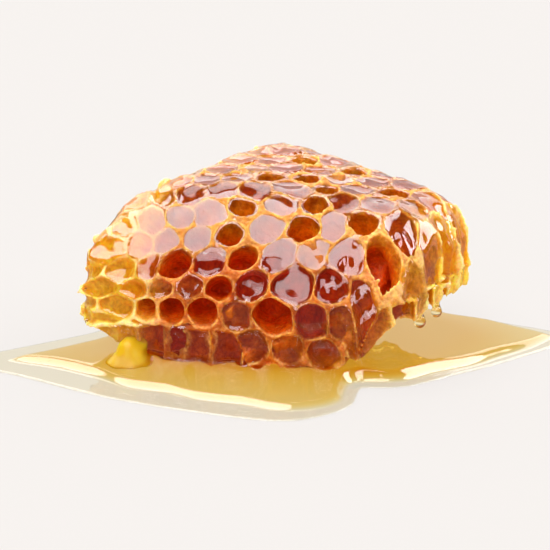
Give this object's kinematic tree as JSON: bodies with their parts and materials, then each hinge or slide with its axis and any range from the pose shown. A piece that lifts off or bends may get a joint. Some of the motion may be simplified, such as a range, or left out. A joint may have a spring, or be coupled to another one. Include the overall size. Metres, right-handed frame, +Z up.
{
  "type": "honeycomb piece",
  "caption": "Broken-off chunk of honeycomb, its cells part filled with honey, standing in the shallow puddle of honey that has run out of it.",
  "frame": {"origin": "middle of the whole piece's footprint, comb and puddle together, on the surface that it lies on", "axes": "+X along the puddle's length, towards the torn end of the comb; +Y from the rounded front of the comb to its high back corner; +Z up"},
  "size_m": [0.0928, 0.0622, 0.0274],
  "materials": {
    "honeycomb": "honey-wet beeswax, granular pale rims over glossy amber cells",
    "honey": "clear golden honey, very glossy"
  },
  "bodies": {
    "root": {"comb": "honeycomb", "honey_pool": "honey", "honey_drop_1": "honey", "honey_drop_2": "honey"}
  },
  "joints": []
}
